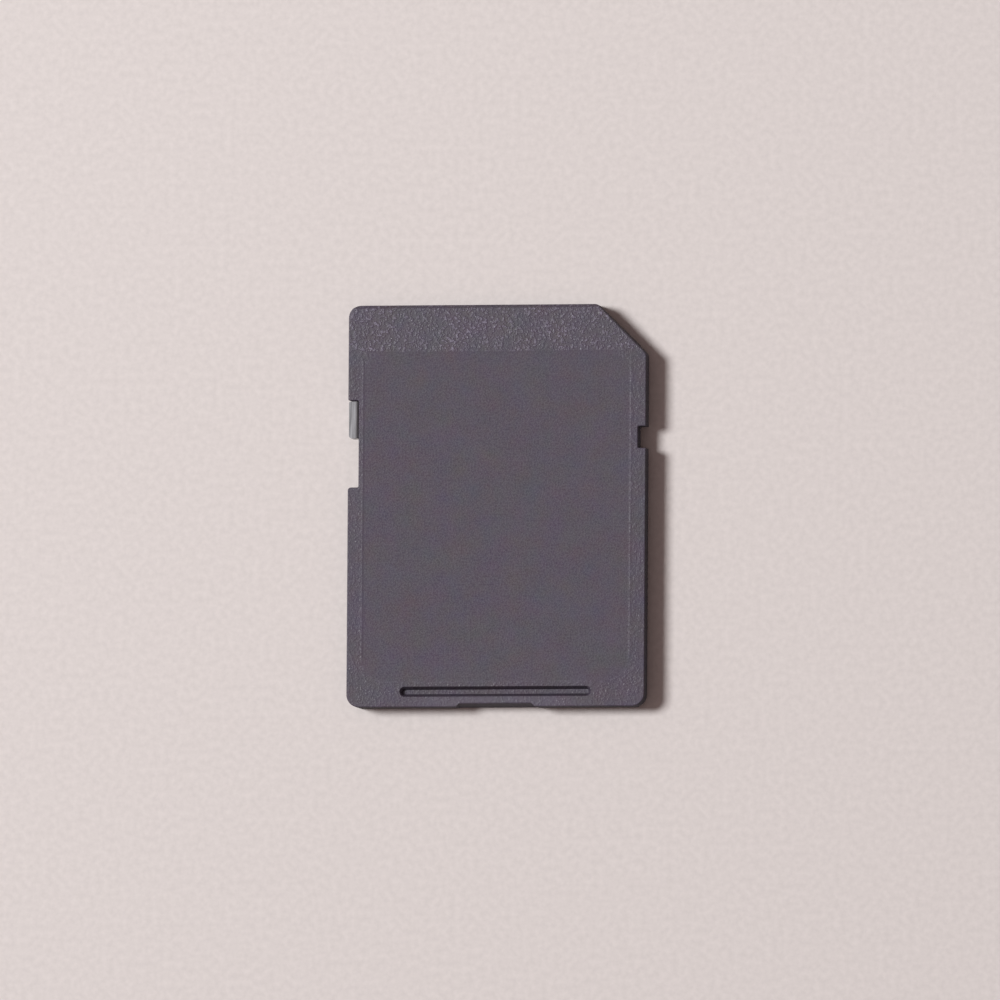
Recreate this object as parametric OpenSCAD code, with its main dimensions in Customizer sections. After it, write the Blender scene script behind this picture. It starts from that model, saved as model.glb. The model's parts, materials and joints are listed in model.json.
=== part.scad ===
// Full-size memory card, lying with its label face up.
// The origin is the middle of the contact face. +X crosses the card, +Y points
// to the contact end and +Z to the label face. All sizes are in millimetres.

/* [Card outline] */
// Width across the two guide rails
card_w = 24; // [23.8:0.1:24.2]
// Length from the rear edge to the contact edge
card_l = 32; // [31.9:0.1:32.3]
// Thickness from the contact face to the highest point of the label face
card_t = 2.1; // [2.1:0.02:2.2]
// Radius of the three square corners
corner_r = 1; // [0.6:0.1:1.4]
// Length that the cut corner takes off each side
cut_corner = 4; // [3.8:0.1:4.2]
// Blend radius at the two ends of the cut corner
cut_blend_r = 0.5; // [0.3:0.1:0.8]
// Rounding of the edge round the label face
edge_r = 0.08; // [0.06:0.02:0.2]
// Width of the bevel across the label face at the contact end
front_bevel = 0.26; // [0.1:0.02:0.4]
// Bevel of the edge round the contact face
base_bevel = 0.15; // [0.05:0.05:0.2]

/* [Guide rails] */
// How far each guide rail stands out beyond the contact side
rail_w = 0.75; // [0.65:0.05:0.8]
// Height of the narrow contact side below the rails
rail_z = 0.7; // [0.66:0.02:0.72]
// Place of the locking notch in the right rail, along the card
notch_y = 5.375; // [5:0.125:6]
// Length of the locking notch
notch_l = 1.75; // [1.5:0.05:2]
// Depth of the locking notch
notch_d = 0.65; // [0.5:0.05:0.7]

/* [Label face] */
// Width of the label field between its low frames
label_w = 21.6; // [21:0.1:21.6]
// Edge of the label field nearest the contact end
label_front = 12.3; // [11.5:0.1:12.4]
// Edge of the label field nearest the rear edge
label_rear = -14.05; // [-14.05:0.05:-13]
// Radius of the two rear corners of the label field
label_r = 2; // [1:0.25:3]
// Height of the low frame round the label field
frame_h = 0.03; // [0.02:0.01:0.06]
// Width of each slope of that frame
frame_w = 0.2; // [0.1:0.05:0.2]

/* [Thumb grip] */
// Length of the grip groove at its mouth
groove_l = 15.4; // [10:0.2:18]
// Width of the grip groove at its mouth
groove_w = 0.78; // [0.74:0.02:0.82]
// Depth of the grip groove
groove_d = 0.5; // [0.3:0.05:0.5]
// Distance from the rear edge to the middle of the groove
groove_back = 1.21; // [1.19:0.01:1.22]
// Width of the scoop in the rear edge, where it starts
scoop_w = 5.7; // [4:0.1:8]
// How far the scoop reaches in from the rear edge
scoop_d = 0.34; // [0.2:0.02:0.4]
// Steepness of the scoop
scoop_angle = 84; // [76:1:85]

/* [Write-protect switch] */
// Front end of the slot that the switch slides in
slot_front = 8.43; // [8.4:0.01:8.5]
// Rear end of that slot
slot_rear = 1.5; // [1.4:0.02:1.5]
// Depth of the slot in the left rail
slot_d = 0.86; // [0.84:0.01:0.88]
// Length of the tab that the finger moves
tab_l = 2.94; // [2.5:0.02:2.96]
// Where the switch stands, from 0 for unlocked to 3.5 for locked
switch_place = 0; // [0:0.1:3.5]

/* [Contacts] */
// Distance between neighbouring contacts 1 to 6
contact_pitch = 2.5; // [2.48:0.01:2.5]
// Width of contacts 1 to 6 and 9
contact_w = 1.7; // [1.4:0.05:1.8]
// Length of each contact
contact_l = 4.05; // [3.8:0.05:4.05]
// Width of the windows over contacts 1 to 6 and 9
window_w = 2; // [1.9:0.02:2.04]
// Thickness of each contact
contact_t = 0.05; // [0.03:0.01:0.06]

/* [Circuit board] */
// Thickness of the board
board_t = 0.3; // [0.25:0.01:0.3]
// Height of the ledge that carries the board
seat_z = 0.75; // [0.73:0.01:0.76]
// Thickness of the floor of the bottom shell
floor_t = 0.35; // [0.3:0.05:0.4]

/* [Memory chip] */
// Length of the moulded body across the card
flash_w = 15.4; // [14:0.1:15.6]
// Width of the moulded body along the card
flash_l = 12; // [11.8:0.1:12]
// Height of the moulded body
flash_t = 0.55; // [0.4:0.01:0.56]
// Number of leads on each of its two ends
lead_count = 24; // [8:1:24]
// Distance between neighbouring leads
lead_pitch = 0.5; // [0.46:0.01:0.5]

/* [Hidden] */
eps = 0.1;                      // how far a cut runs past the face that it opens
fit = 0.05;                     // play between pieces that fit into each other
seam_z = 1.4;                   // height of the joint between the two shells
seam_bevel = 0.04;              // fine bevel that shows the joint from outside
ceiling_z = 1.7;                // inside of the top shell over the circuit board
field_drop = 0.01;              // the label field lies this far below the border
half_w = card_w / 2;
half_l = card_l / 2;
tier_half = half_w - rail_w;    // half width of the contact side
border_z = card_t - frame_h;    // flat border outside the label frame
floor_r = 0.12;                 // corner radius at the floor of slots and notches
mouth_r = 0.27;                 // corner radius at the rear mouth of the switch slot
skin = 0.004;                   // keeps a cut clear of a face that it only meets
round_steps = 4;                // facets across a rounded edge
front_lean = 53;                // steepness of the bevel at the contact end, in degrees
groove_draft = 23;              // lean of the walls of the grip groove, in degrees
groove_lip = 0.04;              // fine bevel round the mouth of that groove
scoop_blend = 0.1;              // rounding where the scoop leaves the label face

// Inner pocket for the circuit board
pocket_half = 10.85;
pocket_rear = -14.05;
pocket_front = 14.85;
pocket_cut = 3.15;
pocket_r = 0.7;
lip_w = 0.45;                   // wall of the locating lip that clamps the board

// Housing of the switch in the left wall
block_x = 9.95;
block_rear = 1.4;
block_front = 8.55;
channel_out = 10.9;
channel_in = 10.4;
channel_low = 0.9;
channel_rear = 1.85;
channel_front = 8.1;
web_gap_rear = 2.3;
web_gap_front = 7.65;
web_gap_low = 1.2;
web_gap_high = 1.6;
tab_low = 0.8;
tab_out = half_w - 0.03;
tab_in = half_w - slot_d + fit;
tab_gap = 0.08;                 // between the unlocked tab and the front end of its slot
tab_y = slot_front - tab_gap - tab_l / 2 - switch_place;
flange_half = 1.2;
flange_y = channel_front - 0.175 - flange_half - switch_place;
web_half = 0.7;

// Contacts 1 to 9 as [middle across the card, width, window width, rear end]
contact_rear = 10.7;
first_contact = 6.375;
contacts = concat(
    [for (i = [0 : 5]) [first_contact - i * contact_pitch, contact_w, window_w, contact_rear]],
    [[-8.5, 1.5, 1.8, contact_rear],
     [-10.225, 0.85, 1.05, contact_rear],
     [first_contact + contact_pitch, contact_w, window_w, contact_rear - 2.1]]
);
window_margin = 0.2;            // window behind the rear end of a contact
rib_taper = 0.09;               // how far a window flares at the contact edge

// Parts on the circuit board
board_top = seat_z + board_t;
flash_y = -6.2;
standoff = 0.03;
band_low = 0.22;
band_high = 0.38;
lead_w = 0.2;
lead_t = 0.12;
lead_out = 0.8;
controller_place = [3.4, 6.4];
controller_size = 7;
capacitor_places = [[-3.2, 11.2], [-6.6, 11.2], [-3.2, 2.2], [-6.6, 2.2], [9.3, 3.4], [-1.8, -13.1]];
resistor_places = [[-4.4, 8.6], [-4.4, 7.2], [-4.4, 5.8], [3.6, -13.1]];

SHELL = "#5E5760";
SWITCH = "#A09EA2";
GOLD = "#C9A227";
BOARD = "#1F3D2B";
BLACK = "#1C1C1E";
TIN = "#B8B8B4";
CERAMIC = "#9C7A55";

// Outlines are lists of corners [x, y, radius], anticlockwise
card_corners = [
    [-half_w, -half_l, corner_r],
    [half_w, -half_l, corner_r],
    [half_w, half_l - cut_corner, cut_blend_r],
    [half_w - cut_corner, half_l, cut_blend_r],
    [-half_w, half_l, corner_r]
];

// Floor, ends and mouth of the switch slot; the mouth blends into the left edge
slot_corners = [
    [-half_w - 1, slot_rear - 1, eps],
    [-half_w - skin, slot_rear - 1, skin],
    [-half_w - skin, slot_rear, mouth_r],
    [-half_w + slot_d, slot_rear, floor_r],
    [-half_w + slot_d, slot_front, floor_r],
    [-half_w - skin, slot_front, floor_r],
    [-half_w - skin, slot_front + 1, skin],
    [-half_w - 1, slot_front + 1, eps]
];

notch_corners = [
    [half_w - notch_d, notch_y - notch_l / 2, floor_r],
    [half_w + 1, notch_y - notch_l / 2, floor_r],
    [half_w + 1, notch_y + notch_l / 2, floor_r],
    [half_w - notch_d, notch_y + notch_l / 2, floor_r]
];

slot_flare_corners = [
    [-half_w - 1, slot_rear, floor_r],
    [-half_w + slot_d, slot_rear, floor_r],
    [-half_w + slot_d, slot_front, floor_r],
    [-half_w - 1, slot_front, floor_r]
];

label_corners = [
    [-label_w / 2, label_rear, label_r],
    [label_w / 2, label_rear, label_r],
    [label_w / 2, label_front, 0.6],
    [-label_w / 2, label_front, 0.6]
];

groove_corners = [
    [-groove_l / 2, -groove_w / 2, groove_w / 2 - 0.01],
    [groove_l / 2, -groove_w / 2, groove_w / 2 - 0.01],
    [groove_l / 2, groove_w / 2, groove_w / 2 - 0.01],
    [-groove_l / 2, groove_w / 2, groove_w / 2 - 0.01]
];

pocket_corners = [
    [-pocket_half, pocket_rear, pocket_r],
    [pocket_half, pocket_rear, pocket_r],
    [pocket_half, pocket_front - pocket_cut, pocket_r],
    [pocket_half - pocket_cut, pocket_front, pocket_r],
    [-pocket_half, pocket_front, pocket_r],
    [-pocket_half, block_front, pocket_r],
    [-block_x, block_front, fit],
    [-block_x, block_rear, fit],
    [-pocket_half, block_rear, pocket_r]
];

// Unit vector from one point to another
function heading(from, to) = [to.x - from.x, to.y - from.y] / norm([to.x - from.x, to.y - from.y]);

// Arc of one corner of an outline that is moved inwards by inset
function corner_arc(before, at, after, inset) =
    let(
        d1 = heading(before, at),
        d2 = heading(at, after),
        n1 = [-d1.y, d1.x],
        n2 = [-d2.y, d2.x],
        turn = atan2(d1.x * d2.y - d1.y * d2.x, d1 * d2),
        side = sign(turn),
        centre = [at.x, at.y] + side * at.z * (n1 + n2) / (1 + n1 * n2),
        reach = side * at.z - inset,
        start = atan2(n1.y, n1.x),
        steps = ceil(abs(turn) / (at.z > 0.55 ? 9 : 22.5))
    )
    [for (k = [0 : steps]) centre - reach * [cos(start + turn * k / steps), sin(start + turn * k / steps)]];

// Points of a whole outline with rounded corners
function outline(corners, inset = 0) =
    let(n = len(corners))
    [for (i = [0 : n - 1]) each corner_arc(corners[(i + n - 1) % n], corners[i], corners[(i + 1) % n], inset)];

// Layers [height, inset] of an edge that is rounded by r and ends at height top
function rounded_edge(top, r) =
    [for (k = [0 : round_steps]) let(a = 90 * k / round_steps) [top - r + r * sin(a), r - r * cos(a)]];

// Solid that follows one outline through layers of [height, inset]
module stacked(corners, layers) {
    rings = [for (layer = layers) [for (p = outline(corners, layer[1])) [p.x, p.y, layer[0]]]];
    n = len(rings[0]);
    last = len(rings) - 1;
    polyhedron(
        points = [for (ring = rings) each ring],
        faces = concat(
            [[for (i = [0 : n - 1]) i]],
            [for (k = [0 : last - 1]) for (i = [0 : n - 1])
                [k * n + i, (k + 1) * n + i, (k + 1) * n + (i + 1) % n, k * n + (i + 1) % n]],
            [[for (i = [n - 1 : -1 : 0]) last * n + i]]
        )
    );
}

// Straight block between two heights on an outline
module slab(corners, low, high, inset = 0) {
    translate([0, 0, low])
        linear_extrude(height = high - low)
            polygon(outline(corners, inset));
}

// Box from its lowest to its highest corner
module box(low, high) {
    translate(low)
        cube(high - low);
}

// Bar along the card whose section is a polygon of [x, z] points
module bar_along(points, rear, front) {
    translate([0, front, 0])
        rotate([90, 0, 0])
            linear_extrude(height = front - rear)
                polygon(points);
}

// Bar across the card whose section is a polygon of [y, z] points
module bar_across(points, half) {
    translate([-half, 0, 0])
        rotate([90, 0, 90])
            linear_extrude(height = 2 * half)
                polygon(points);
}

// Slot and notch cut through both rails
module rail_cuts() {
    slab(slot_corners, -eps, card_t + eps);
    slab(notch_corners, -eps, card_t + eps);
}

// Cut that rounds the top edge along a slot or notch, whose outline it follows
module flare(corners) {
    top = rounded_edge(border_z, edge_r);
    stacked(corners, concat(
        [[border_z - 2 * edge_r, 2 * skin]],
        [for (layer = top) [layer[0], 2 * skin - layer[1]]],
        [[card_t + eps, -edge_r]]
    ));
}

// Cut below one guide rail, with the bevel along the contact side
module rail_step() {
    bar_along([
        [tier_half - base_bevel - eps, -eps],
        [tier_half, base_bevel],
        [tier_half, rail_z],
        [half_w + 1, rail_z],
        [half_w + 1, -eps]
    ], -half_l - 1, half_l + 1);
}

// Cut for the bevel that guides the contact end into a socket
module front_cut() {
    drop = front_bevel * tan(front_lean);
    bar_across([
        [half_l - 2 * front_bevel, border_z + drop],
        [half_l + front_bevel, border_z - 2 * drop],
        [half_l + front_bevel, border_z + drop]
    ], half_w + eps);
}

// Scoop for the fingernail, cut down the rear edge of both shells
module rear_scoop() {
    start = -half_l + scoop_d;
    reach = scoop_d + eps;
    arc = [for (k = [0 : round_steps]) let(a = scoop_angle * k / round_steps)
        [start - scoop_blend * sin(a), border_z - scoop_blend + scoop_blend * cos(a)]];
    last = arc[round_steps];
    foot = [start - reach, last.y - (last.x - start + reach) * tan(scoop_angle)];
    intersection() {
        bar_across(concat([[start, card_t + eps]], arc, [foot, [foot.x, card_t + eps]]), half_w);
        linear_extrude(height = 2 * card_t)
            polygon([
                [-scoop_w / 2, start],
                [-scoop_w / 2 - reach, start - reach],
                [scoop_w / 2 + reach, start - reach],
                [scoop_w / 2, start]
            ]);
    }
}

// Plan of the window over one contact, flared where the card enters a socket
module window_plan(contact) {
    half = contact[2] / 2;
    rear = contact[3] - window_margin;
    translate([contact[0], 0])
        polygon([
            [-half, rear],
            [half, rear],
            [half, half_l - 1],
            [half + rib_taper, half_l + eps],
            [-half - rib_taper, half_l + eps],
            [-half, half_l - 1]
        ]);
}

// Stiffening bays under the circuit board, with ribs left between them
module floor_bays() {
    rib = 0.6;
    side = 9.5;
    rear = -13.4;
    length = 4.8;
    for (row = [0 : 3])
        for (left = [-side, rib / 2])
            translate([left, rear + row * (length + rib), floor_t])
                cube([side - rib / 2, length, seat_z + eps - floor_t]);
}

// Switch channel and the slit for the web, shared by both shells
module switch_channel(high) {
    box([-channel_out, channel_rear, channel_low], [-channel_in, channel_front, high]);
    box([-half_w + slot_d - eps, web_gap_rear, web_gap_low],
        [-channel_out + eps, web_gap_front, min(high, web_gap_high)]);
}

module bottom_shell() {
    color(SHELL)
        difference() {
            stacked(card_corners, [
                [0, base_bevel],
                [base_bevel, 0],
                [seam_z - seam_bevel, 0],
                [seam_z, seam_bevel]
            ]);
            rail_cuts();
            rail_step();
            mirror([1, 0, 0])
                rail_step();
            slab(pocket_corners, seat_z, seam_z + eps);
            floor_bays();
            for (contact = contacts) {
                translate([0, 0, -eps])
                    linear_extrude(height = rail_z + eps)
                        window_plan(contact);
                translate([0, 0, rail_z - eps])
                    linear_extrude(height = seat_z - rail_z + 2 * eps)
                        intersection() {
                            window_plan(contact);
                            polygon(outline(pocket_corners, fit));
                        }
            }
            switch_channel(seam_z + eps);
            rear_scoop();
        }
}

module top_shell() {
    lip_low = board_top;
    color(SHELL)
        difference() {
            union() {
                stacked(card_corners, concat(
                    [[seam_z, seam_bevel], [seam_z + seam_bevel, 0]],
                    rounded_edge(border_z, edge_r)
                ));
                stacked(label_corners, [
                    [border_z - eps, -frame_w],
                    [border_z, -frame_w],
                    [card_t, -frame_w / 10]
                ]);
                slab(pocket_corners, lip_low, seam_z + eps, fit);
            }
            slab(pocket_corners, lip_low - eps, ceiling_z, fit + lip_w);
            stacked(label_corners, [
                [border_z - field_drop, frame_w],
                [card_t, frame_w / 10],
                [card_t + eps, 0]
            ]);
            translate([0, -half_l + groove_back, 0])
                stacked(groove_corners, [
                    [border_z - groove_d, groove_lip / 2 + (groove_d - groove_lip) * tan(groove_draft)],
                    [border_z - groove_lip, groove_lip / 2],
                    [border_z, -groove_lip / 2],
                    [border_z + eps, -groove_lip]
                ]);
            rail_cuts();
            flare(slot_flare_corners);
            flare(notch_corners);
            switch_channel(ceiling_z);
            front_cut();
            rear_scoop();
        }
}

// Section of the switch tab as [x, z] points: a ridge and a flat for the fingertip
function tab_section() = [
    [-tab_out, tab_low],
    [-tab_in, tab_low],
    [-tab_in, card_t - 0.27],
    [-tab_in - 0.08, card_t - 0.18],
    [-tab_in - 0.15, card_t - 0.12],
    [-tab_in - 0.22, card_t - 0.09],
    [-tab_in - 0.3, card_t - 0.09],
    [-tab_in - 0.38, card_t - 0.16],
    [-tab_in - 0.44, card_t - 0.14],
    [-tab_out + 0.09, card_t - 0.15],
    [-tab_out, card_t - 0.26]
];

module write_protect_switch() {
    tab_front = tab_y + tab_l / 2;
    tab_rear = tab_y - tab_l / 2;
    color(SWITCH) {
        intersection() {
            bar_along(tab_section(), tab_rear, tab_front);
            linear_extrude(height = card_t)
                polygon(outline([
                    [-tab_out, tab_rear, mouth_r],
                    [-tab_in, tab_rear, fit],
                    [-tab_in, tab_front, fit],
                    [-tab_out, tab_front, floor_r]
                ]));
        }
        box([-tab_in - fit, flange_y - web_half, web_gap_low + fit],
            [-channel_out + 2 * fit, flange_y + web_half, web_gap_high - fit]);
        slab([
            [-channel_out + fit, flange_y - flange_half, 2 * fit],
            [-channel_in - fit, flange_y - flange_half, 2 * fit],
            [-channel_in - fit, flange_y + flange_half, 2 * fit],
            [-channel_out + fit, flange_y + flange_half, 2 * fit]
        ], channel_low + fit, ceiling_z - fit);
    }
}

module circuit_board() {
    color(BOARD)
        slab(pocket_corners, seat_z, board_top, fit);
}

module contact(number) {
    place = contacts[number - 1];
    half = place[1] / 2;
    color(GOLD)
        slab([
            [place[0] - half, place[3], 0.1],
            [place[0] + half, place[3], 0.1],
            [place[0] + half, place[3] + contact_l, 0.1],
            [place[0] - half, place[3] + contact_l, 0.1]
        ], seat_z - contact_t, seat_z);
}

// Moulded chip body with a straight band between two drafted halves
module chip_body(size, low, draft) {
    corners = [for (s = [[-1, -1], [1, -1], [1, 1], [-1, 1]]) [s.x * size.x / 2, s.y * size.y / 2, 0.2]];
    stacked(corners, [
        [low, draft],
        [low + band_low, 0],
        [low + band_high, 0],
        [low + size.z, draft]
    ]);
}

module flash_package() {
    color(BLACK)
        translate([0, flash_y, 0])
            difference() {
                chip_body([flash_w, flash_l, flash_t], board_top + standoff, 0.08);
                translate([-flash_w / 2 + 1.2, flash_l / 2 - 1.2, board_top + flash_t - 0.03])
                    cylinder(h = 1, d = 0.9, $fn = 32);
            }
}

// One gull-wing lead from the chip's end face down to the board
module gull_wing() {
    root = board_top + standoff + band_low + 0.02;
    foot = board_top;
    bend = 0.22;
    side = [
        [0, root],
        [bend, root],
        [bend + 0.12, foot],
        [lead_out, foot],
        [lead_out, foot + lead_t],
        [bend + 0.21, foot + lead_t],
        [bend + 0.09, root + lead_t],
        [0, root + lead_t]
    ];
    bar_along(side, -lead_w / 2, lead_w / 2);
}

module flash_leads() {
    color(TIN)
        for (end = [0, 1])
            for (i = [0 : lead_count - 1])
                translate([0, flash_y + (i - (lead_count - 1) / 2) * lead_pitch, 0])
                    mirror([end, 0, 0])
                        translate([flash_w / 2, 0, 0])
                            gull_wing();
}

module controller() {
    color(BLACK)
        translate([controller_place.x, controller_place.y, 0])
            difference() {
                chip_body([controller_size, controller_size, 0.5], board_top, 0.05);
                translate([-controller_size / 2 + 0.9, controller_size / 2 - 0.9, board_top + 0.45])
                    cylinder(h = 1, d = 0.6, $fn = 32);
            }
}

// Chip component with plated caps on both ends
module chip_component(size, cap) {
    step = 0.02;
    translate([-size.x / 2 + cap / 2, -size.y / 2 + step, step])
        cube([size.x - cap, size.y - 2 * step, size.z - 2 * step]);
    for (left = [-size.x / 2, size.x / 2 - cap])
        translate([left, -size.y / 2, 0])
            cube([cap, size.y, size.z]);
}

module capacitor(number) {
    place = capacitor_places[number - 1];
    color(CERAMIC)
        translate([place.x, place.y, board_top])
            chip_component([1.6, 0.8, 0.5], 0.3);
}

module resistor(number) {
    place = resistor_places[number - 1];
    color(BLACK)
        translate([place.x, place.y, board_top])
            chip_component([1, 0.5, 0.35], 0.2);
}

top_shell();
bottom_shell();
write_protect_switch();
circuit_board();
flash_package();
flash_leads();
controller();
for (i = [1 : len(contacts)])
    contact(i);
for (i = [1 : len(capacitor_places)])
    capacitor(i);
for (i = [1 : len(resistor_places)])
    resistor(i);
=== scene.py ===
# Full-size memory card on pale paper, label side up, seen from nearly straight above
import json
import math

import bpy
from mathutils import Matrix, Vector

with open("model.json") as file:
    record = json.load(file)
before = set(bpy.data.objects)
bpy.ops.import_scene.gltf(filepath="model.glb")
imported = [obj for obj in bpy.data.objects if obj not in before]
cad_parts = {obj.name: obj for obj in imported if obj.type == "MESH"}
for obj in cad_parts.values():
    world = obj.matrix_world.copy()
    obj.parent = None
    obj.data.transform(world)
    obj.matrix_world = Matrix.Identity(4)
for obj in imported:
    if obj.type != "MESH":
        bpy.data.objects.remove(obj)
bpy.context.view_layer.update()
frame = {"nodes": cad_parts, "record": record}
nodes = frame["nodes"]
print("frame loaded:", len(nodes), "CAD nodes")

millimetre = 0.001


def addNode(tree, kind, links=None, **settings):
    # links holds a value or another node's output for each named or numbered input
    node = tree.nodes.new(kind)
    for name, value in settings.items():
        setattr(node, name, value)
    for name, value in (links or {}).items():
        if isinstance(value, bpy.types.NodeSocket):
            tree.links.new(value, node.inputs[name])
        else:
            node.inputs[name].default_value = value
    return node


def linearColour(hexText):
    # an sRGB hex colour such as "5E575F" as linear red, green, blue and alpha 1
    channels = [int(hexText[i:i + 2], 16) / 255 for i in (0, 2, 4)]
    return [c / 12.92 if c <= 0.04045 else ((c + 0.055) / 1.055) ** 2.4 for c in channels] + [1.0]


# Camera: far off with a long lens, leaning to the right of the card and a little to its rear
cameraSettings = {
    "leanRight": 10.0,        # degrees from straight above, towards +X
    "leanRear": 4.2,          # degrees towards -Y
    "distance": 2.5,          # metres
    "pixelsPerMm": 12.6,      # scale in a 1000 pixel picture
    "pictureWidth": 1000,     # pixels
    "cardCentre": (496.2, 505.3),  # where the middle of the label face stands in the picture
    "sensorWidth": 36.0,      # mm
    "labelHeight": 2.1,       # mm
    "nearest": 0.01,          # metres; nothing closer or farther than these is drawn
    "farthest": 20.0,
}


def makeCamera(settings):
    rightward = math.sin(math.radians(settings["leanRight"]))
    rearward = math.sin(math.radians(settings["leanRear"]))
    outward = Vector((rightward, -rearward, math.sqrt(1 - rightward ** 2 - rearward ** 2)))
    turn = Vector((0, 0, 1)).rotation_difference(outward)
    fieldWidth = settings["pictureWidth"] / settings["pixelsPerMm"] * millimetre
    data = bpy.data.cameras.new("camera")
    data.sensor_width = settings["sensorWidth"]
    data.lens = settings["sensorWidth"] * settings["distance"] / fieldWidth
    data.clip_start = settings["nearest"]
    data.clip_end = settings["farthest"]
    camera = bpy.data.objects.new("camera", data)
    bpy.context.scene.collection.objects.link(camera)
    middle = settings["pictureWidth"] / 2
    offset = Vector((middle - settings["cardCentre"][0], settings["cardCentre"][1] - middle, 0))
    aim = Vector((0, 0, settings["labelHeight"])) * millimetre
    aim += turn @ (offset / settings["pixelsPerMm"] * millimetre)
    camera.location = aim + outward * settings["distance"]
    camera.rotation_euler = turn.to_euler()
    bpy.context.scene.camera = camera
    bpy.context.scene.view_settings.view_transform = "Standard"


makeCamera(cameraSettings)
print("camera placed")

# Light: one soft key from the left, a little from above in the picture, and a weak warm fill from overhead
lightSettings = {
    "keyAzimuth": 166.0,      # degrees from +X towards +Y
    "keyElevation": 52.4,
    "keyDistance": 1.3,       # metres; gives the slow fall of light across the paper
    "keySoftness": 18.5,      # degrees that the lamp spans, which sets how soft the shadow's edge is
    "keyAim": (0.0, 0.55, 0.0),   # metres; off the contact end, so that the paper darkens to the rear
    "keyPower": 18.85,        # watts
    "keyColour": (0.97, 1.0, 1.0),
    "fillColour": (0.363, 0.28, 0.267),   # linear, at the zenith
    "fillFocus": 2.0,         # how fast the fill fades towards the horizon
    "skyColour": "D7CDCC",    # what the camera and gloss see beyond the paper
}


def makeLights(settings):
    azimuth = math.radians(settings["keyAzimuth"])
    elevation = math.radians(settings["keyElevation"])
    distance = settings["keyDistance"]
    data = bpy.data.lights.new("key", "AREA")
    data.shape = "DISK"
    data.size = 2 * distance * math.tan(math.radians(settings["keySoftness"] / 2))
    data.energy = settings["keyPower"]
    data.color = settings["keyColour"]
    lamp = bpy.data.objects.new("key", data)
    bpy.context.scene.collection.objects.link(lamp)
    lamp.location = [
        distance * math.cos(elevation) * math.cos(azimuth),
        distance * math.cos(elevation) * math.sin(azimuth),
        distance * math.sin(elevation),
    ]
    backward = lamp.location - Vector(settings["keyAim"])
    lamp.rotation_euler = backward.to_track_quat("Z", "Y").to_euler()
    world = bpy.data.worlds.new("studio")
    bpy.context.scene.world = world
    world.use_nodes = True
    tree = world.node_tree
    tree.nodes.clear()
    direction = addNode(tree, "ShaderNodeTexCoord")
    axes = addNode(tree, "ShaderNodeSeparateXYZ", {0: direction.outputs["Generated"]})
    upward = addNode(tree, "ShaderNodeMath", {0: axes.outputs["Z"], 1: 0.0}, operation="MAXIMUM")
    overhead = addNode(tree, "ShaderNodeMath", {
        0: upward.outputs[0], 1: settings["fillFocus"]}, operation="POWER")
    fill = addNode(tree, "ShaderNodeBackground", {
        "Color": list(settings["fillColour"]) + [1.0], "Strength": overhead.outputs[0]})
    sky = addNode(tree, "ShaderNodeBackground", {"Color": linearColour(settings["skyColour"])})
    # the camera, mirror images and views through glass see the sky, and everything else gets the fill
    rays = addNode(tree, "ShaderNodeLightPath")
    shown = addNode(tree, "ShaderNodeMath", {
        0: rays.outputs["Is Camera Ray"], 1: rays.outputs["Is Glossy Ray"]}, operation="MAXIMUM")
    seen = addNode(tree, "ShaderNodeMath", {
        0: shown.outputs[0], 1: rays.outputs["Is Transmission Ray"]}, operation="MAXIMUM")
    mix = addNode(tree, "ShaderNodeMixShader", {
        0: seen.outputs[0], 1: fill.outputs[0], 2: sky.outputs[0]})
    addNode(tree, "ShaderNodeOutputWorld", {"Surface": mix.outputs[0]})


makeLights(lightSettings)
print("lights placed")

# Paper under the card
paperSettings = {
    "colour": "DDD4D2",
    "fibreMm": 0.5,           # length of the soft clouds that fibres make
    "mottle": 0.048,          # how much the clouds change the colour
    "roughness": 0.9,
    "reliefMm": 0.02,         # how high the fibres stand
    "relief": 0.3,            # how much of that the eye is shown
    "halfWidth": 3.0,         # metres, so that no edge shows from the side
}
cloudRange = (0.3, 0.7)       # a noise seldom leaves this range, so patterns are scaled from it


def makeMaterial(name):
    material = bpy.data.materials.new(name)
    material.use_nodes = True
    material.node_tree.nodes.clear()
    return material, material.node_tree


def makePaper(settings):
    # uncoated paper, pressed: dull, with faint clouds where fibres lie thicker
    material, tree = makeMaterial("pressed uncoated paper")
    place = addNode(tree, "ShaderNodeTexCoord")
    clouds = addNode(tree, "ShaderNodeTexNoise", {
        "Vector": place.outputs["Object"], "Scale": 1 / (settings["fibreMm"] * millimetre), "Detail": 4.0})
    shade = addNode(tree, "ShaderNodeMapRange", {
        "Value": clouds.outputs["Fac"], "From Min": cloudRange[0], "From Max": cloudRange[1],
        "To Min": 1 - settings["mottle"], "To Max": 1 + settings["mottle"]})
    colour = addNode(tree, "ShaderNodeVectorMath", {
        0: linearColour(settings["colour"])[:3], "Scale": shade.outputs[0]}, operation="SCALE")
    grain = addNode(tree, "ShaderNodeBump", {
        "Height": clouds.outputs["Fac"], "Strength": settings["relief"],
        "Distance": settings["reliefMm"] * millimetre})
    surface = addNode(tree, "ShaderNodeBsdfPrincipled", {
        "Base Color": colour.outputs[0], "Roughness": settings["roughness"], "Normal": grain.outputs[0]})
    addNode(tree, "ShaderNodeOutputMaterial", {"Surface": surface.outputs[0]})
    half = settings["halfWidth"]
    mesh = bpy.data.meshes.new("paper")
    corners = [(-half, -half, 0), (half, -half, 0), (half, half, 0), (-half, half, 0)]
    mesh.from_pydata(corners, [], [(0, 1, 2, 3)])
    mesh.materials.append(material)
    paper = bpy.data.objects.new("paper", mesh)
    bpy.context.scene.collection.objects.link(paper)


makePaper(paperSettings)
print("paper laid")

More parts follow.
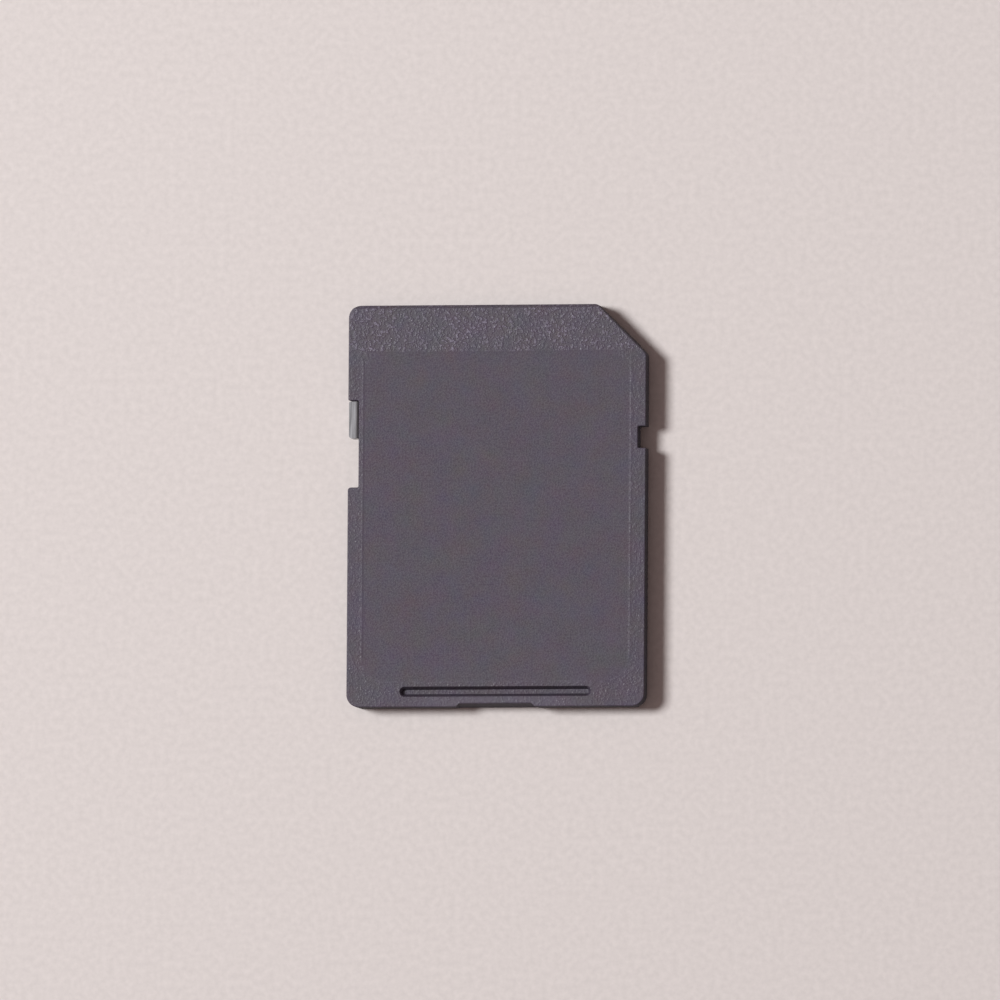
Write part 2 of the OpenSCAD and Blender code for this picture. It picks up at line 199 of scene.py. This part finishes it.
# Shell plastic: ABS moulded in a spark-eroded tool
shellSettings = {
    "colour": "392F3E",
    "cloudMm": 2.2,                 # the pigment lies in faint clouds of this size
    "cloudContrast": 0.7,
    "roughness": 0.6,
    "bandRoughness": 0.5,
    "ior": 1.53,
    "paintedWallShade": 0.35,              # painted shade: the walls' colour is darkened to this share of the faces'
    "wallRoughness": 0.85,
    "wallRange": (0.1, 0.6),        # upward share of the normal on a wall, and where a face begins
    "fieldHalfMm": (10.8, 13.175),  # half width and half length of the smooth label field
    "fieldMiddleMm": -0.875,        # its middle along the card
    "fieldRadiusMm": 2.0,
    "fieldBlendMm": 0.15,           # the finishes pass into each other over this much to each side
    "fineGrainMm": 0.13,            # the real grain is finer; this is as fine as the render can show
    "fineHeightMm": 0.0095,
    "fineGloss": 0.6,               # how much that grain changes the roughness
    "coarseGrainMm": 0.22,          # drawn coarser than the real pits, which the render would blur
    "coarseHeightMm": 0.03,
    "coarseRange": (0.44, 0.68),    # part of the noise that becomes the slopes of the grains
    "borderShare": 0.4,             # depth of the coarse grain on the border, against the band
    "bandMm": (12.2, 12.5),         # the coarse band by the contact end begins between these
    "wearFrom": (0.35, 0.65),       # clouds between these leave the coarse grain as weak
    "wearTo": (0.7, 1.2),           # or as strong as these
    "paintedHighlightColour": "847C90",       # the painted highlight colour that the tops of the grains are turned towards
    "paintedHighlight": 0.43,                 # how far the highest ones get
    "glintFocus": 2.3,             # higher leaves only the highest grains with painted glints
    "frameHalfMm": 0.07,            # half width of the painted highlight along the edge round the label field
    "frameHighlight": 0.16,
    "stripHighlight": 0.1,             # painted highlight on the strip between the groove and the rear edge
    "stripAlongMm": (-14.9, -15.4), # where along the card that begins, and where it is full
    "stripAcrossMm": (8.0, 4.0),    # the same, as distances from the card's middle line
}


def roundedBoxDistance(tree, x, y, halfMm, radiusMm):
    # distance in mm to a rounded rectangle, below zero inside it
    cornerX = addNode(tree, "ShaderNodeMath", {0: x, 1: halfMm[0] - radiusMm}, operation="SUBTRACT")
    cornerY = addNode(tree, "ShaderNodeMath", {0: y, 1: halfMm[1] - radiusMm}, operation="SUBTRACT")
    corner = addNode(tree, "ShaderNodeCombineXYZ", {0: cornerX.outputs[0], 1: cornerY.outputs[0]})
    outside = addNode(tree, "ShaderNodeVectorMath", {
        0: corner.outputs[0], 1: (0, 0, 0)}, operation="MAXIMUM")
    reach = addNode(tree, "ShaderNodeVectorMath", {0: outside.outputs[0]}, operation="LENGTH")
    edge = addNode(tree, "ShaderNodeMath", {0: reach.outputs["Value"], 1: radiusMm}, operation="SUBTRACT")
    return edge.outputs[0]


def makeShellPlastic(settings):
    # dull, with a fine even grain on the label field, and on the band by the contact end coarse grains
    # whose tops are painted paler as painted glints
    material, tree = makeMaterial("spark-eroded moulded ABS")
    place = addNode(tree, "ShaderNodeTexCoord")
    inMm = addNode(tree, "ShaderNodeVectorMath", {
        0: place.outputs["Object"], "Scale": 1 / millimetre}, operation="SCALE")
    axes = addNode(tree, "ShaderNodeSeparateXYZ", {0: inMm.outputs[0]})
    sideways = addNode(tree, "ShaderNodeMath", {0: axes.outputs["X"]}, operation="ABSOLUTE")
    shifted = addNode(tree, "ShaderNodeMath", {
        0: axes.outputs["Y"], 1: settings["fieldMiddleMm"]}, operation="SUBTRACT")
    lengthwise = addNode(tree, "ShaderNodeMath", {0: shifted.outputs[0]}, operation="ABSOLUTE")
    distance = roundedBoxDistance(tree, sideways.outputs[0], lengthwise.outputs[0],
                                  settings["fieldHalfMm"], settings["fieldRadiusMm"])
    border = addNode(tree, "ShaderNodeMapRange", {
        "Value": distance, "From Min": -settings["fieldBlendMm"], "From Max": settings["fieldBlendMm"],
        "To Max": settings["borderShare"]})
    band = addNode(tree, "ShaderNodeMapRange", {
        "Value": axes.outputs["Y"], "From Min": settings["bandMm"][0], "From Max": settings["bandMm"][1],
        "To Max": 1 - settings["borderShare"]})
    clouds = addNode(tree, "ShaderNodeTexNoise", {
        "Vector": inMm.outputs[0], "Scale": 1 / settings["cloudMm"], "Detail": 3.0, "Roughness": 0.6})
    wear = addNode(tree, "ShaderNodeMapRange", {
        "Value": clouds.outputs["Fac"],
        "From Min": settings["wearFrom"][0], "From Max": settings["wearFrom"][1],
        "To Min": settings["wearTo"][0], "To Max": settings["wearTo"][1]})
    finish = addNode(tree, "ShaderNodeMath", {0: border.outputs[0], 1: band.outputs[0]}, operation="ADD")
    coarseness = addNode(tree, "ShaderNodeMath", {
        0: finish.outputs[0], 1: wear.outputs[0]}, operation="MULTIPLY")

    # fine grain: small changes of height and of gloss
    fine = addNode(tree, "ShaderNodeTexNoise", {
        "Vector": inMm.outputs[0], "Scale": 1 / settings["fineGrainMm"], "Detail": 1.0})
    centred = addNode(tree, "ShaderNodeMath", {0: fine.outputs["Fac"], 1: 0.5}, operation="SUBTRACT")

    # coarse grain: raised grains with rubbed tops
    coarse = addNode(tree, "ShaderNodeTexNoise", {
        "Vector": inMm.outputs[0], "Scale": 1 / settings["coarseGrainMm"], "Detail": 1.5, "Roughness": 0.6})
    grains = addNode(tree, "ShaderNodeMapRange", {
        "Value": coarse.outputs["Fac"], "From Min": settings["coarseRange"][0],
        "From Max": settings["coarseRange"][1]}, interpolation_type="SMOOTHSTEP")
    raised = addNode(tree, "ShaderNodeMath", {
        0: grains.outputs[0], 1: coarseness.outputs[0]}, operation="MULTIPLY")
    coarseHeight = addNode(tree, "ShaderNodeMath", {
        0: raised.outputs[0], 1: settings["coarseHeightMm"]}, operation="MULTIPLY")
    height = addNode(tree, "ShaderNodeMath", {
        0: fine.outputs["Fac"], 1: settings["fineHeightMm"], 2: coarseHeight.outputs[0]},
        operation="MULTIPLY_ADD")
    grain = addNode(tree, "ShaderNodeBump", {
        "Height": height.outputs[0], "Strength": 1.0, "Distance": millimetre})

    # pigment in faint clouds: each channel has its own noise, centred on no change
    tint = addNode(tree, "ShaderNodeVectorMath", {
        0: clouds.outputs["Color"], 1: [settings["cloudContrast"]] * 3,
        2: [1 - settings["cloudContrast"] / 2] * 3}, operation="MULTIPLY_ADD")
    pigment = addNode(tree, "ShaderNodeVectorMath", {
        0: linearColour(settings["colour"])[:3], 1: tint.outputs[0]}, operation="MULTIPLY")

    # painted highlight: the tops of the coarse grains are painted paler as glints, and specks along the
    # edge round the label field and the strip between the groove and the rear edge are painted paler as
    # highlights
    paintedGlints = addNode(tree, "ShaderNodeMath", {
        0: raised.outputs[0], 1: settings["glintFocus"]}, operation="POWER")
    # painted highlight: specks along the ridge round the label field are made paler
    fromFrame = addNode(tree, "ShaderNodeMath", {0: distance}, operation="ABSOLUTE")
    frameEdge = addNode(tree, "ShaderNodeMapRange", {
        "Value": fromFrame.outputs[0], "From Max": 2 * settings["frameHalfMm"],
        "To Min": settings["frameHighlight"], "To Max": 0.0})
    frameGlints = addNode(tree, "ShaderNodeMath", {
        0: grains.outputs[0], 1: frameEdge.outputs[0]}, operation="MULTIPLY")
    # painted highlight: the strip between the groove and the rear edge is made paler
    stripAcross = addNode(tree, "ShaderNodeMapRange", {
        "Value": sideways.outputs[0], "From Min": settings["stripAcrossMm"][0],
        "From Max": settings["stripAcrossMm"][1], "To Max": settings["stripHighlight"]},
        interpolation_type="SMOOTHSTEP")
    stripSheen = addNode(tree, "ShaderNodeMapRange", {
        "Value": axes.outputs["Y"], "From Min": settings["stripAlongMm"][0],
        "From Max": settings["stripAlongMm"][1], "To Max": stripAcross.outputs[0]})
    marks = addNode(tree, "ShaderNodeMath", {0: frameGlints.outputs[0], 1: stripSheen.outputs[0]}, operation="ADD")
    paintedHighlight = addNode(tree, "ShaderNodeMath", {
        0: paintedGlints.outputs[0], 1: settings["paintedHighlight"], 2: marks.outputs[0]}, operation="MULTIPLY_ADD")
    colour = addNode(tree, "ShaderNodeMix", {
        "Factor": paintedHighlight.outputs[0], "A": pigment.outputs[0],
        "B": linearColour(settings["paintedHighlightColour"])}, data_type="RGBA")

    # the walls are duller than the faces, and their colour is darkened as painted shade
    facing = addNode(tree, "ShaderNodeSeparateXYZ", {0: place.outputs["Normal"]})
    flatness = addNode(tree, "ShaderNodeMath", {0: facing.outputs["Z"]}, operation="ABSOLUTE")
    paintedWallShade = addNode(tree, "ShaderNodeMapRange", {
        "Value": flatness.outputs[0], "From Min": settings["wallRange"][0],
        "From Max": settings["wallRange"][1], "To Min": settings["paintedWallShade"]})
    shaded = addNode(tree, "ShaderNodeVectorMath", {
        0: colour.outputs["Result"], "Scale": paintedWallShade.outputs[0]}, operation="SCALE")
    faceGloss = addNode(tree, "ShaderNodeMapRange", {
        "Value": coarseness.outputs[0],
        "To Min": settings["roughness"], "To Max": settings["bandRoughness"]})
    dullness = addNode(tree, "ShaderNodeMapRange", {
        "Value": flatness.outputs[0], "From Min": settings["wallRange"][0],
        "From Max": settings["wallRange"][1],
        "To Min": settings["wallRoughness"], "To Max": faceGloss.outputs[0]})
    gloss = addNode(tree, "ShaderNodeMath", {
        0: centred.outputs[0], 1: settings["fineGloss"], 2: dullness.outputs[0]}, operation="MULTIPLY_ADD")
    surface = addNode(tree, "ShaderNodeBsdfPrincipled", {
        "Base Color": shaded.outputs[0], "Roughness": gloss.outputs[0],
        "IOR": settings["ior"], "Normal": grain.outputs[0]}, distribution="GGX")
    addNode(tree, "ShaderNodeOutputMaterial", {"Surface": surface.outputs[0]})
    return material


# Pieces inside the card, which show through the contact windows or not at all
maskSettings = {
    "colour": "1E4A30",
    "roughness": 0.35,
    "metallic": 0.0,
    "ior": 1.53,
    "grainMm": 0.3,
    "heightMm": 0.002,
    "contrast": 0.04,         # how much the grain changes the colour
}
resinSettings = {
    "colour": "1D1D1F",
    "roughness": 0.6,
    "metallic": 0.0,
    "ior": 1.53,
    "grainMm": 0.08,
    "heightMm": 0.004,
    "contrast": 0.04,
}
ceramicSettings = {
    "colour": "8A6A4A",
    "roughness": 0.5,
    "metallic": 0.0,
    "ior": 1.53,
    "grainMm": 0.1,
    "heightMm": 0.003,
    "contrast": 0.04,
}
leadSettings = {
    "colour": "BDBDB8",
    "roughness": 0.35,
    "metallic": 1.0,
    "ior": 1.5,
    "grainMm": 0.1,
    "heightMm": 0.001,
    "contrast": 0.04,
}


def makeGrained(name, settings):
    # one even grain: glossy and slightly wavy for solder mask, dull for moulded resin and fired ceramic,
    # bright and soft for tin
    material, tree = makeMaterial(name)
    place = addNode(tree, "ShaderNodeTexCoord")
    grain = addNode(tree, "ShaderNodeTexNoise", {
        "Vector": place.outputs["Object"], "Scale": 1 / (settings["grainMm"] * millimetre), "Detail": 3.0})
    bump = addNode(tree, "ShaderNodeBump", {
        "Height": grain.outputs["Fac"], "Strength": 1.0, "Distance": settings["heightMm"] * millimetre})
    shade = addNode(tree, "ShaderNodeMapRange", {
        "Value": grain.outputs["Fac"], "From Min": cloudRange[0], "From Max": cloudRange[1],
        "To Min": 1 - settings["contrast"], "To Max": 1 + settings["contrast"]})
    base = addNode(tree, "ShaderNodeVectorMath", {
        0: linearColour(settings["colour"])[:3], "Scale": shade.outputs[0]}, operation="SCALE")
    surface = addNode(tree, "ShaderNodeBsdfPrincipled", {
        "Base Color": base.outputs[0], "Roughness": settings["roughness"],
        "Metallic": settings["metallic"], "IOR": settings["ior"], "Normal": bump.outputs[0]})
    addNode(tree, "ShaderNodeOutputMaterial", {"Surface": surface.outputs[0]})
    return material


# The switch and the contacts are streaked along the card: the contacts by a socket's springs, and the
# switch's colour streaks are painted highlight and shade lines along its ridges
switchSettings = {
    "colour": "8E8D91",
    "roughness": 0.36,
    "metallic": 0.0,
    "ior": 1.48,
    "streakMm": (0.2, 3.0, 0.4),    # size of a streak across, along and up
    "contrast": 0.4,                # how much the streaks change the colour and the roughness; on the switch the colour streaks are painted highlight and shade lines
    "heightMm": 0.006,
}
contactSettings = {
    "colour": "D9A84E",
    "roughness": 0.28,
    "metallic": 1.0,
    "ior": 1.5,
    "streakMm": (0.06, 2.0, 0.3),
    "contrast": 0.12,
    "heightMm": 0.002,
}


def makeStreaked(name, settings):
    # half bright in plastic and bright in gold, with fine light and dark streaks along the card: wipe marks
    # on the gold, painted highlight and shade lines on the switch
    material, tree = makeMaterial(name)
    place = addNode(tree, "ShaderNodeTexCoord")
    stretched = addNode(tree, "ShaderNodeVectorMath", {
        0: place.outputs["Object"], 1: [1 / (size * millimetre) for size in settings["streakMm"]]},
        operation="MULTIPLY")
    streaks = addNode(tree, "ShaderNodeTexNoise", {
        "Vector": stretched.outputs[0], "Scale": 1.0, "Detail": 2.0})
    bump = addNode(tree, "ShaderNodeBump", {
        "Height": streaks.outputs["Fac"], "Strength": 1.0, "Distance": settings["heightMm"] * millimetre})
    shade = addNode(tree, "ShaderNodeMapRange", {
        "Value": streaks.outputs["Fac"], "From Min": cloudRange[0], "From Max": cloudRange[1],
        "To Min": 1 - settings["contrast"], "To Max": 1 + settings["contrast"]})
    base = addNode(tree, "ShaderNodeVectorMath", {
        0: linearColour(settings["colour"])[:3], "Scale": shade.outputs[0]}, operation="SCALE")
    dullness = addNode(tree, "ShaderNodeMath", {
        0: shade.outputs[0], 1: settings["roughness"]}, operation="MULTIPLY")
    surface = addNode(tree, "ShaderNodeBsdfPrincipled", {
        "Base Color": base.outputs[0], "Roughness": dullness.outputs[0], "Metallic": settings["metallic"],
        "IOR": settings["ior"], "Normal": bump.outputs[0]})
    addNode(tree, "ShaderNodeOutputMaterial", {"Surface": surface.outputs[0]})
    return material


finishes = {
    "shell_plastic": makeShellPlastic(shellSettings),
    "switch_plastic": makeStreaked("moulded acetal", switchSettings),
    "board_laminate": makeGrained("cured solder mask", maskSettings),
    "chip_resin": makeGrained("moulded epoxy resin", resinSettings),
    "capacitor_ceramic": makeGrained("fired ceramic", ceramicSettings),
    "tinned_leads": makeGrained("tin plated copper", leadSettings),
    "contact_gold": makeStreaked("gold plated copper", contactSettings),
}
slotOf = {part["node"]: part["material_slot"] for part in frame["record"]["subparts"]}
for name, node in nodes.items():
    for slot in node.material_slots:
        slot.material = finishes[slotOf[name]]
print("finishes made:", len(finishes))


# Moulded edges get a fine radius, and curved walls are shaded smooth
edgeSettings = {
    "radiusMm": 0.03,
    "radiusSteps": 2,
    "sharpDegrees": 28.0,     # an edge that turns by more than this is one
    "flatDegrees": 0.5,       # faces that turn by less than this are joined into one
    "joinMm": 0.0001,         # corners closer than this are one corner
}


def makeSmoothGroup(settings):
    tree = bpy.data.node_groups.new("smooth curved walls", "GeometryNodeTree")
    tree.interface.new_socket("Geometry", in_out="INPUT", socket_type="NodeSocketGeometry")
    tree.interface.new_socket("Geometry", in_out="OUTPUT", socket_type="NodeSocketGeometry")
    start = addNode(tree, "NodeGroupInput")
    joined = addNode(tree, "GeometryNodeMergeByDistance", {
        "Geometry": start.outputs[0], "Distance": settings["joinMm"] * millimetre})
    faces = addNode(tree, "GeometryNodeSetShadeSmooth", {
        "Geometry": joined.outputs[0], "Shade Smooth": True})
    angle = addNode(tree, "GeometryNodeInputMeshEdgeAngle")
    flat = addNode(tree, "FunctionNodeCompare", {
        "A": angle.outputs["Unsigned Angle"],
        "B": math.radians(settings["sharpDegrees"])}, operation="LESS_EQUAL")
    edges = addNode(tree, "GeometryNodeSetShadeSmooth", {
        "Geometry": faces.outputs[0], "Shade Smooth": flat.outputs[0]}, domain="EDGE")
    addNode(tree, "NodeGroupOutput", {0: edges.outputs[0]})
    return tree


def finishEdges(node, group, settings, joinFlats):
    smooth = node.modifiers.new("smooth", "NODES")
    smooth.node_group = group
    if joinFlats:
        flatten = node.modifiers.new("flatten", "DECIMATE")
        flatten.decimate_type = "DISSOLVE"
        flatten.angle_limit = math.radians(settings["flatDegrees"])
    bevel = node.modifiers.new("edge radius", "BEVEL")
    bevel.width = settings["radiusMm"] * millimetre
    bevel.segments = settings["radiusSteps"]
    bevel.limit_method = "ANGLE"
    bevel.angle_limit = math.radians(settings["sharpDegrees"])
    bevel.use_clamp_overlap = True
    bevel.loop_slide = False        # keeps rounded edges within a micrometre of the solid's box
    bevel.harden_normals = False
    even = node.modifiers.new("even shading", "WEIGHTED_NORMAL")
    even.keep_sharp = True


smoothGroup = makeSmoothGroup(edgeSettings)
finishEdges(nodes["top_shell"], smoothGroup, edgeSettings, joinFlats=True)
finishEdges(nodes["bottom_shell"], smoothGroup, edgeSettings, joinFlats=True)
finishEdges(nodes["write_protect_switch"], smoothGroup, edgeSettings, joinFlats=False)
print("edges finished")
